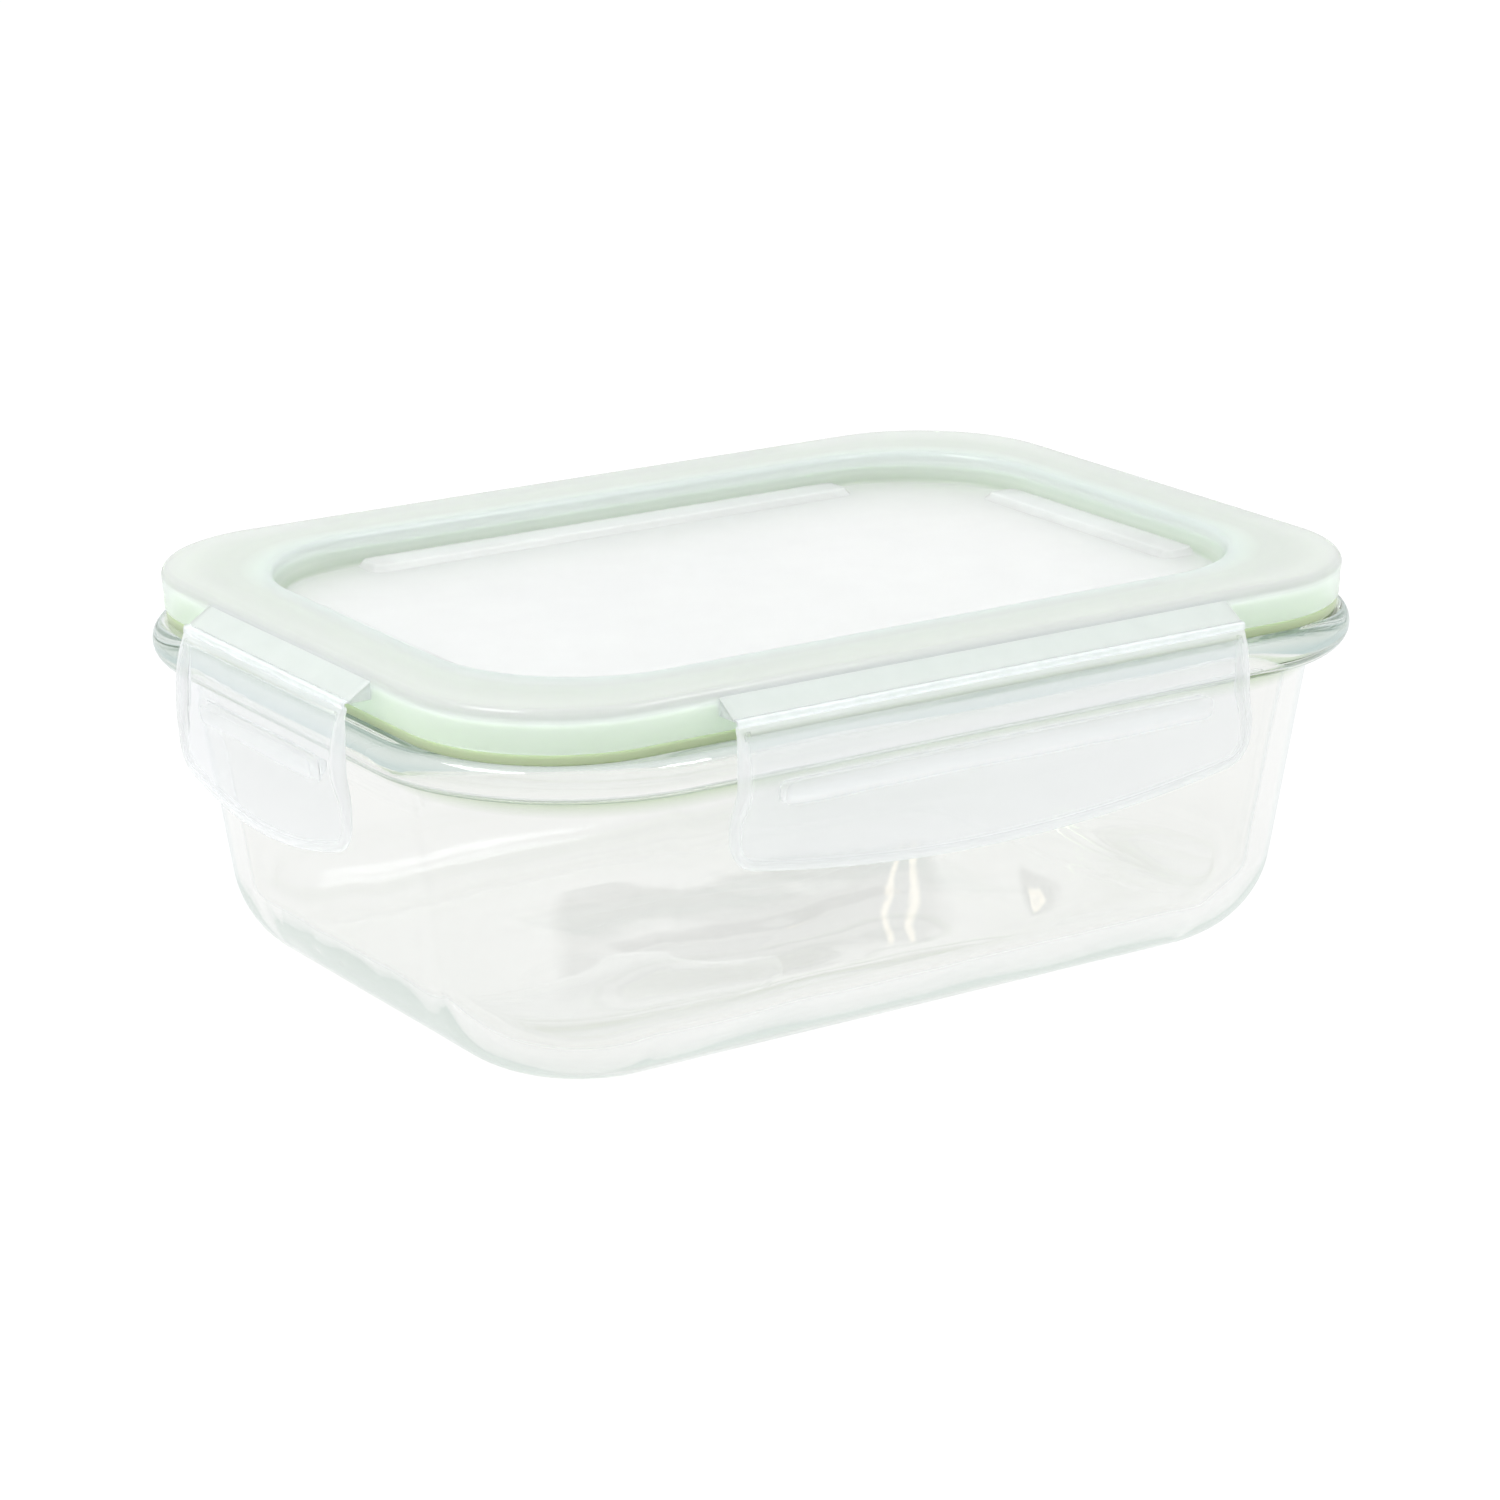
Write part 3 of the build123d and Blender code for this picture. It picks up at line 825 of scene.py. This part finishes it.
def noise_value(tree, wave_mm, detail=3.0, stretch=None):
    """A noise from 0 to 1 with waves of a given length, stretched along an axis if asked."""
    place = rest_position(tree)
    if stretch:
        place = add_node(tree, "Mapping", {"Vector": place, "Scale": stretch}).outputs["Vector"]
    settings = {"Vector": place, "Scale": 1000.0 / wave_mm, "Detail": detail}
    return add_node(tree, "TexNoise", settings).outputs["Fac"]


def ranged(tree, value, low, high, start=0.0, end=1.0):
    """A value from start to end mapped to the range from low to high."""
    inputs = {"Value": value, "From Min": start, "From Max": end, "To Min": low, "To Max": high}
    return add_node(tree, "MapRange", inputs).outputs["Result"]


def rise(tree, value, start, end):
    """A share that goes from 0 to 1 as a value goes from start to end."""
    return ranged(tree, value, 0.0, 1.0, start, end)


def bump(tree, value, depth_mm, normal=None):
    """A bump from a 0 to 1 value, depth_mm deep."""
    inputs = {"Height": value, "Distance": depth_mm * MM, "Strength": 1.0}
    if normal is not None:
        inputs["Normal"] = normal
    return add_node(tree, "Bump", inputs).outputs["Normal"]


def calculate(tree, operation, first, second):
    """One sum, product and so on of two numbers or sockets."""
    return add_node(tree, "Math", {0: first, 1: second}, operation=operation).outputs["Value"]


def times(tree, first, second):
    """The product of two numbers or sockets."""
    return calculate(tree, "MULTIPLY", first, second)


def mix_colours(tree, share, first, second):
    """A colour between two colours."""
    inputs = {0: share}
    for index, value in ((6, first), (7, second)):
        inputs[index] = value if isinstance(value, bpy.types.NodeSocket) else (*value, 1.0)
    return add_node(tree, "Mix", inputs, data_type="RGBA").outputs[2]


def mix_shaders(tree, share, first, second):
    return add_node(tree, "MixShader", {0: share, 1: first, 2: second}).outputs["Shader"]


def let_light_through(tree, shader, tint):
    """The shader, with its shadows let through so that light reaches what lies behind it."""
    shadow = add_node(tree, "LightPath").outputs["Is Shadow Ray"]
    clear = add_node(tree, "BsdfTransparent", {"Color": (*tint, 1.0)}).outputs["BSDF"]
    return mix_shaders(tree, shadow, shader, clear)


def end_long_paths(tree, shader, glow):
    """The shader, with light that has bounced about inside for long replaced by an even glow."""
    depth = add_node(tree, "LightPath").outputs["Ray Depth"]
    long_path = calculate(tree, "GREATER_THAN", depth, LONG_PATH)
    even = add_node(tree, "Emission", {"Color": glow, "Strength": 1.0}).outputs["Emission"]
    return mix_shaders(tree, long_path, shader, even)


def finish_material(tree, shader, volume=None):
    output = add_node(tree, "OutputMaterial", {"Surface": shader})
    if volume:
        tree.links.new(volume, output.inputs["Volume"])


def clear_glass():
    """Pressed soda-lime glass: almost colourless, green where light crosses a lot of it, with a painted
    reflection of the seal's green on the bead's lower edge and painted dark teal shade on edges seen at a
    grazing angle.
    """
    made, tree = new_material("bowl_glass")
    wander = noise_value(tree, wave_mm=26.0, detail=2.0)
    grain = noise_value(tree, wave_mm=2.5, detail=4.0)
    normal = bump(tree, grain, depth_mm=0.0015, normal=bump(tree, wander, depth_mm=0.05))
    smears = noise_value(tree, wave_mm=18.0, detail=5.0, stretch=(1.0, 1.0, 0.4))
    # painted reflection of the seal's green round the bead's lower edge
    skin_and_seal_reflection = mix_colours(tree, mesh_value(tree, "painted_seal_reflection"), GLASS_SKIN, PAINTED_SEAL_REFLECTION)
    # painted dark teal shade where the glass is seen edge-on, above the base
    facing = add_node(tree, "LayerWeight", {"Blend": 0.5}).outputs["Facing"]
    grazing = rise(tree, facing, start=0.74, end=0.96)
    painted_edge_shade = times(tree, grazing, height_share(tree, low_mm=4, high_mm=16))
    glass = add_node(tree, "BsdfPrincipled", {
        "Base Color": mix_colours(tree, painted_edge_shade, skin_and_seal_reflection, PAINTED_EDGE_SHADE),
        "Roughness": ranged(tree, smears, 0.0, 0.035, start=0.45, end=0.8),
        "IOR": 1.5,
        "Transmission Weight": 1.0,
        "Normal": normal,
    })
    volume = add_node(tree, "VolumeAbsorption", {"Color": GLASS_TINT, "Density": GLASS_DENSITY})
    surface = let_light_through(tree, glass.outputs["BSDF"], tint=(0.95, 0.965, 0.955))
    glow = mix_colours(tree, height_share(tree, low_mm=18, high_mm=40), BASE_GLOW, RIM_GLOW)
    finish_material(tree, end_long_paths(tree, surface, glow), volume.outputs["Volume"])
    return made


def milky_plastic(name, milk, colour, *, clear_colour, roughness, bump_mm, tint, ior=PLASTIC_IOR):
    """Moulded translucent plastic: a share of milk over a rough clear body, with a glossy skin.

    The milk and its colour are functions that make sockets, so that they can change over a part.
    """
    made, tree = new_material(name)
    body_colour = colour(tree)
    grain = noise_value(tree, wave_mm=2.4, detail=3.0)
    sink = noise_value(tree, wave_mm=22.0, detail=2.0)
    normal = bump(tree, grain, bump_mm, bump(tree, sink, depth_mm=0.03))
    cloud = ranged(tree, noise_value(tree, wave_mm=30.0, detail=4.0), -0.04, 0.04)
    rub = ranged(tree, noise_value(tree, wave_mm=7.0, detail=5.0), -0.05, 0.07)
    rough = calculate(tree, "ADD", rub, roughness)
    white = add_node(tree, "BsdfPrincipled", {
        "Base Color": body_colour,
        "Roughness": rough,
        "Specular IOR Level": 0.5,
        "Coat Weight": 0.35,
        "Coat Roughness": 0.12,
        "Normal": normal,
    })
    glow = add_node(tree, "BsdfTranslucent", {"Color": body_colour, "Normal": normal})
    milk_shader = mix_shaders(tree, MILK_GLOW, white.outputs["BSDF"], glow.outputs["BSDF"])
    clear = add_node(tree, "BsdfPrincipled", {
        "Base Color": (*clear_colour, 1.0),
        "Roughness": rough,
        "IOR": ior,
        "Transmission Weight": 1.0,
        "Normal": normal,
    })
    share = calculate(tree, "ADD", milk(tree), cloud)
    shader = mix_shaders(tree, share, clear.outputs["BSDF"], milk_shader)
    finish_material(tree, end_long_paths(tree, let_light_through(tree, shader, tint), body_colour))
    return made


def within(tree, value, limits, softness):
    """1 where a value lies between two limits, easing to 0 outside them."""
    above = rise(tree, value, limits[0] - softness, limits[0] + softness)
    below = ranged(tree, value, 1.0, 0.0, limits[1] - softness, limits[1] + softness)
    return times(tree, above, below)


def height_share(tree, low_mm, high_mm):
    """0 below one height and 1 above another."""
    height = add_node(tree, "SeparateXYZ", {"Vector": rest_position(tree)}).outputs["Z"]
    return rise(tree, height, start=low_mm * MM, end=high_mm * MM)


def mesh_value(tree, name):
    """A value kept on the mesh's points."""
    return add_node(tree, "Attribute", attribute_name=name).outputs["Fac"]


def lid_plastic():
    """The lid: a pale panel, painted bluish-grey shade on the slope round it, a greener band, a creamy edge
    and a clear skirt.
    """
    def milk(tree):
        zone = mesh_value(tree, "zone")
        clearing = times(tree, BAND_CLEARING, within(tree, zone, (0.15, 0.62), softness=0.15))
        band = calculate(tree, "SUBTRACT", LID_BAND_MILK, clearing)
        slope = times(tree, LID_SLOPE_MILK, within(tree, zone, (-0.095, 0.06), softness=0.015))
        low = calculate(tree, "ADD", LID_LOW_MILK, slope)
        share = height_share(tree, low_mm=72.8, high_mm=74.4)
        above = times(tree, band, share)
        below = times(tree, low, calculate(tree, "SUBTRACT", 1.0, share))
        return calculate(tree, "ADD", above, below)

    def colour(tree):
        zone = mesh_value(tree, "zone")
        # the recess slope gets painted bluish-grey shade
        inner = mix_colours(tree, rise(tree, zone, start=-0.12, end=0.0), PANEL_WHITE, PAINTED_SLOPE_SHADE)
        band = mix_colours(tree, rise(tree, zone, start=0.1, end=0.3), inner, BAND_WHITE)
        outer = rise(tree, zone, start=0.6, end=0.85)
        edge = mix_colours(tree, outer, band, EDGE_WHITE)
        below = calculate(tree, "SUBTRACT", 1.0, height_share(tree, low_mm=72.6, high_mm=73.6))
        return mix_colours(tree, times(tree, outer, below), edge, SKIRT_WHITE)

    return milky_plastic(
        "lid_plastic", milk, colour,
        clear_colour=(0.92, 0.965, 1.0), roughness=0.2, bump_mm=0.002, tint=(0.82, 0.84, 0.84),
    )


def ledge_plastic():
    """The ledges are milky with a trace of the seal's green."""
    def milk(tree):
        return ranged(tree, noise_value(tree, wave_mm=9.0, detail=3.0), 0.76, 0.88)

    def colour(tree):
        return (*LEDGE_WHITE, 1.0)

    return milky_plastic(
        "ledge_plastic", milk, colour,
        clear_colour=(0.93, 0.98, 0.95), roughness=0.12, bump_mm=0.0006, tint=(0.85, 0.9, 0.87),
    )


def flap_plastic():
    """The flaps are clearer than the lid, with a milkier border and latch."""
    def milk(tree):
        border = ranged(tree, mesh_value(tree, "border"), FLAP_MILK, FLAP_BORDER_MILK)
        latch = ranged(tree, mesh_value(tree, "latch"), 0.0, FLAP_LATCH_MILK)
        return calculate(tree, "ADD", border, latch)

    def colour(tree):
        return mix_colours(tree, mesh_value(tree, "border"), FLAP_WHITE, FLAP_BORDER_WHITE)

    return milky_plastic(
        "flap_plastic", milk, colour,
        clear_colour=(0.978, 0.977, 0.992), roughness=0.16, bump_mm=0.0002, tint=(0.88, 0.9, 0.9),
        ior=FLAP_IOR,
    )


def web_plastic():
    """Plastic stretched thin and whitened by bending."""
    def milk(tree):
        return ranged(tree, noise_value(tree, wave_mm=3.0, detail=3.0), 0.40, 0.62)

    def colour(tree):
        return mix_colours(tree, noise_value(tree, wave_mm=5.0), FLAP_WHITE, FLAP_BORDER_WHITE)

    return milky_plastic(
        "hinge_web_plastic", milk, colour,
        clear_colour=(0.96, 0.98, 0.99), roughness=0.14, bump_mm=0.003, tint=(0.85, 0.88, 0.88),
    )


def green_silicone():
    """Soft olive green rubber with a matt, slightly dusty skin."""
    made, tree = new_material("seal")
    grain = noise_value(tree, wave_mm=0.35, detail=4.0)
    slow = noise_value(tree, wave_mm=14.0, detail=3.0)
    colour = mix_colours(tree, rise(tree, slow, start=0.3, end=0.7), SEAL_DARK, SEAL_LIGHT)
    colour = mix_colours(tree, height_share(tree, low_mm=67.0, high_mm=67.6), SEAL_FOOT, colour)
    rubber = add_node(tree, "BsdfPrincipled", {
        "Base Color": colour,
        "Roughness": ranged(tree, grain, 0.38, 0.55),
        "Subsurface Weight": 0.25,
        "Subsurface Radius": (1.0, 1.2, 0.6),
        "Subsurface Scale": 1.2 * MM,
        "Sheen Weight": 0.15,
        "Sheen Roughness": 0.4,
        "Normal": bump(tree, grain, depth_mm=0.01),
    })
    surface = let_light_through(tree, rubber.outputs["BSDF"], tint=(0.55, 0.66, 0.42))
    finish_material(tree, surface)
    return made


# ---------------- floor, light and camera
WHITE = (1.0, 1.0, 1.0)
FLOOR_RADIUS = 4.0
FLOOR_Z = -0.0002
FLOOR_NEAR = 0.5  # the floor is white to here, then greyer in reflections
FLOOR_GREY = (0.72, 0.76, 0.76)
FLOOR_GLOW = 0.97
FLOOR_SEEN = 1.06  # the same glow as the camera sees it
FLOOR_PAPER = 0.14  # the share of real shading, for the contact shadow
AZIMUTH, ELEVATION = radians(-34.09), radians(17.21)
LENS = 108.0
DISTANCE = 0.8489
TARGET = Vector((0, 0, 0.0335))
SHIFT_RIGHT, SHIFT_UP = -0.00087, 0.00313

# The sky, by direction: height is the sine of the elevation, across is to the camera's right
SKY_WHITE = (1.06, 1.06, 1.07)
SKY_GREY = (0.90, 0.93, 0.95)
GREY_BELOW = (radians(22), radians(42))
NEAR_SIDE = (-0.35, 0.25)  # towards the camera: white to grey
GAP_ACROSS = (-0.048, 0.056)  # the gap between two lights, mirrored in the bowl's floor
GAP_HEIGHT = (0.312, 0.348)
GAP_GREY = (0.36, 0.36, 0.36)
STRIPS_ACROSS = [(0.0190, 0.0240), (0.0370, 0.0430)]  # two warm lamps that shine through the gap
STRIP_WARM = (1.8, 1.6, 1.3)


def add_camera():
    """A long lens looking down on the near left corner, at the photograph's angle."""
    back = Vector((sin(AZIMUTH) * cos(ELEVATION), -cos(AZIMUTH) * cos(ELEVATION), sin(ELEVATION)))
    right = Vector((cos(AZIMUTH), sin(AZIMUTH), 0))
    up = back.cross(right)
    camera = bpy.data.objects.new("camera", bpy.data.cameras.new("camera"))
    camera.data.lens = LENS
    camera.data.sensor_width = 36
    camera.matrix_world = Matrix((right, up, back)).transposed().to_4x4()
    camera.location = TARGET + back * DISTANCE + right * SHIFT_RIGHT + up * SHIFT_UP
    bpy.context.scene.collection.objects.link(camera)
    bpy.context.scene.camera = camera


def floor_material():
    """A pale sweep: mostly its own white, with a little real shading for the contact shadow."""
    made, tree = new_material("floor_paper")
    place = rest_position(tree)
    length = add_node(tree, "VectorMath", {0: place}, operation="LENGTH").outputs["Value"]
    far = rise(tree, length, start=FLOOR_NEAR, end=FLOOR_NEAR * 3)
    camera_ray = add_node(tree, "LightPath").outputs["Is Camera Ray"]
    far = times(tree, far, calculate(tree, "SUBTRACT", 1.0, camera_ray))
    colour = mix_colours(tree, far, WHITE, FLOOR_GREY)
    strength = ranged(tree, camera_ray, FLOOR_GLOW, FLOOR_SEEN)
    glow = add_node(tree, "Emission", {"Color": colour, "Strength": strength}).outputs["Emission"]
    fibre = noise_value(tree, wave_mm=1.5, detail=4.0)
    paper = add_node(tree, "BsdfPrincipled", {
        "Base Color": (0.9, 0.9, 0.9, 1.0),
        "Roughness": ranged(tree, fibre, 0.7, 0.9),
        "Specular IOR Level": 0.1,
        "Normal": bump(tree, fibre, depth_mm=0.01),
    })
    finish_material(tree, mix_shaders(tree, FLOOR_PAPER, glow, paper.outputs["BSDF"]))
    return made


def add_floor():
    place = (0, 0, FLOOR_Z)
    bpy.ops.mesh.primitive_circle_add(vertices=96, radius=FLOOR_RADIUS, fill_type="NGON", location=place)
    floor = bpy.context.object
    floor.name = "floor"
    floor.data.materials.append(floor_material())


def component(tree, way, direction):
    """How far a way goes in a direction, from -1 to 1."""
    return add_node(tree, "VectorMath", {0: way, 1: direction}, operation="DOT_PRODUCT").outputs["Value"]


def add_world():
    """White behind the object, bright overhead, and greyer low down on the camera's side."""
    world = bpy.data.worlds.new("studio")
    world.use_nodes = True
    tree = world.node_tree
    tree.nodes.clear()
    way = add_node(tree, "TexCoord").outputs["Generated"]
    height = add_node(tree, "SeparateXYZ", {"Vector": way}).outputs["Z"]
    towards = component(tree, way, (sin(AZIMUTH), -cos(AZIMUTH), 0))
    across = component(tree, way, (cos(AZIMUTH), sin(AZIMUTH), 0))
    near_side = rise(tree, towards, *NEAR_SIDE)
    low = ranged(tree, height, 1.0, 0.0, sin(GREY_BELOW[0]), sin(GREY_BELOW[1]))
    grey = times(tree, near_side, low)
    sky = mix_colours(tree, grey, SKY_WHITE, SKY_GREY)
    gap_across = within(tree, across, GAP_ACROSS, softness=0.006)
    gap = times(tree, gap_across, within(tree, height, GAP_HEIGHT, softness=0.005))
    behind = rise(tree, towards, start=0.0, end=-0.1)
    sky = mix_colours(tree, times(tree, gap, behind), sky, GAP_GREY)
    for strip in STRIPS_ACROSS:
        strip_across = within(tree, across, strip, softness=0.0015)
        lit = times(tree, strip_across, gap)
        sky = mix_colours(tree, times(tree, lit, behind), sky, STRIP_WARM)
    camera_ray = add_node(tree, "LightPath").outputs["Is Camera Ray"]
    colour = mix_colours(tree, camera_ray, sky, WHITE)
    light = add_node(tree, "Background", {"Color": colour, "Strength": 1.0})
    add_node(tree, "OutputWorld", {"Surface": light.outputs["Background"]})
    bpy.context.scene.world = world


def add_softbox(name, place, size, power, target=(0, 0, 0.05)):
    """A rectangular area light facing a point."""
    light = bpy.data.objects.new(name, bpy.data.lights.new(name, "AREA"))
    light.data.shape = "RECTANGLE"
    light.data.size, light.data.size_y = size
    light.data.energy = power
    light.location = place
    light.rotation_euler = (Vector(target) - Vector(place)).to_track_quat("-Z", "Y").to_euler()
    bpy.context.scene.collection.objects.link(light)


def set_look():
    scene = bpy.context.scene
    scene.view_settings.view_transform = "Standard"
    scene.cycles.max_bounces = 24
    scene.cycles.transmission_bounces = 20
    scene.cycles.glossy_bounces = 20
    scene.cycles.transparent_max_bounces = 32
    scene.cycles.caustics_reflective = False
    scene.cycles.caustics_refractive = True
    scene.cycles.use_denoising = True
    scene.cycles.blur_glossy = 0.3


build_bowl()
build_lid()
flap_material = flap_plastic()
web_material = web_plastic()
for flap_side in SIDES:
    build_flap(flap_side, flap_material)
    build_web(flap_side, web_material)
add_floor()
add_world()
add_softbox("overhead", place=(-0.35, 0.25, 1.1), size=(0.5, 0.35), power=5.0)
add_softbox("fill", place=(0.5, -0.25, 1.1), size=(0.25, 0.25), power=2.0)
add_camera()
set_look()
